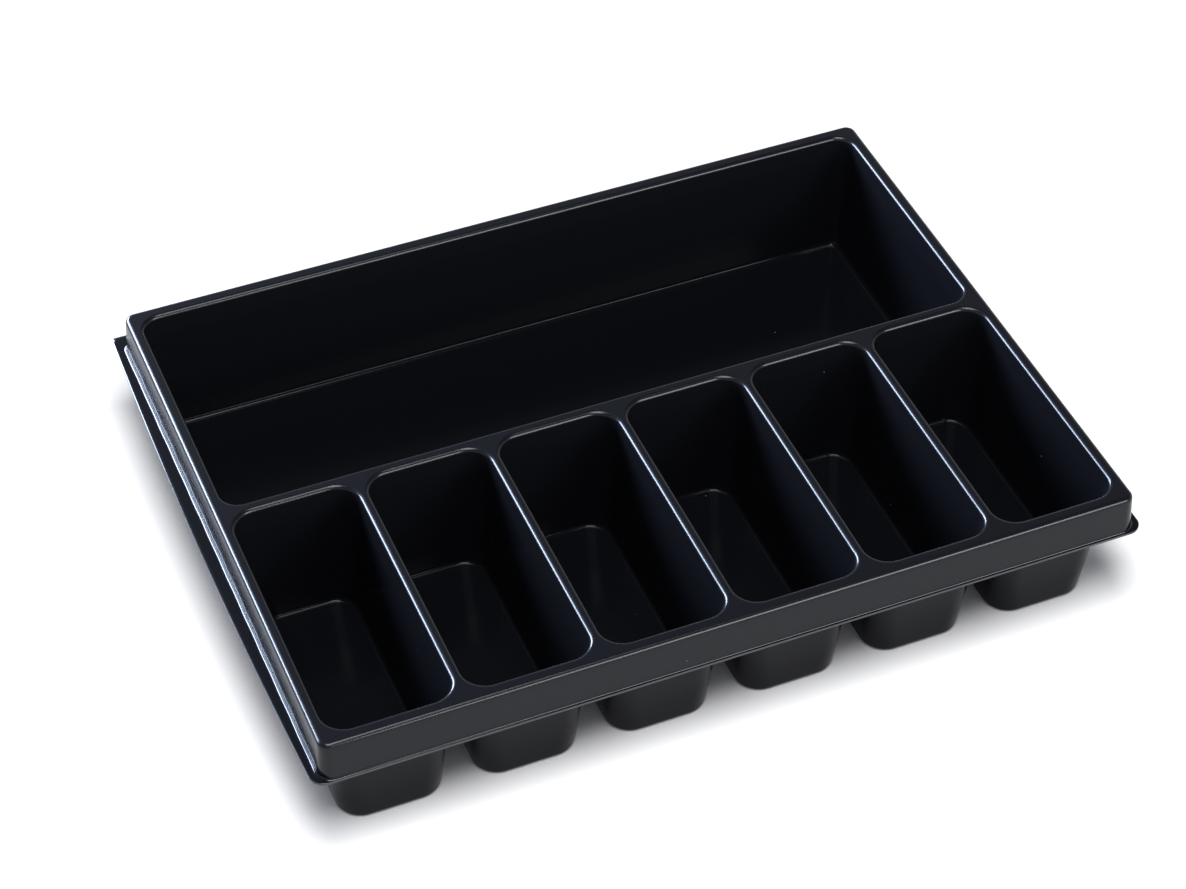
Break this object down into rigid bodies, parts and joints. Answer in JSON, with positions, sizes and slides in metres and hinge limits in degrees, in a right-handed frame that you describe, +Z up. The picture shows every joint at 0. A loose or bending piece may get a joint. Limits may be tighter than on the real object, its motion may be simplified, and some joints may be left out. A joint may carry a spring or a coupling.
{
  "type": "thermoformed plastic tray",
  "caption": "Thermoformed rectangular compartment tray with a row of narrow deep pockets along the front, a wide bin behind them, a short flared skirt and a narrow trimmed flange.",
  "frame": {"origin": "middle of the base, measured over the trimmed flange, at the underside of the cups", "axes": "+X to the right along the row of pockets, +Y from the pockets to the bin, +Z up"},
  "size_m": [0.4037, 0.3062, 0.0682],
  "materials": {
    "sheet": "near-black glossy formed sheet"
  },
  "bodies": {
    "root": {"tray": "sheet"}
  },
  "joints": []
}
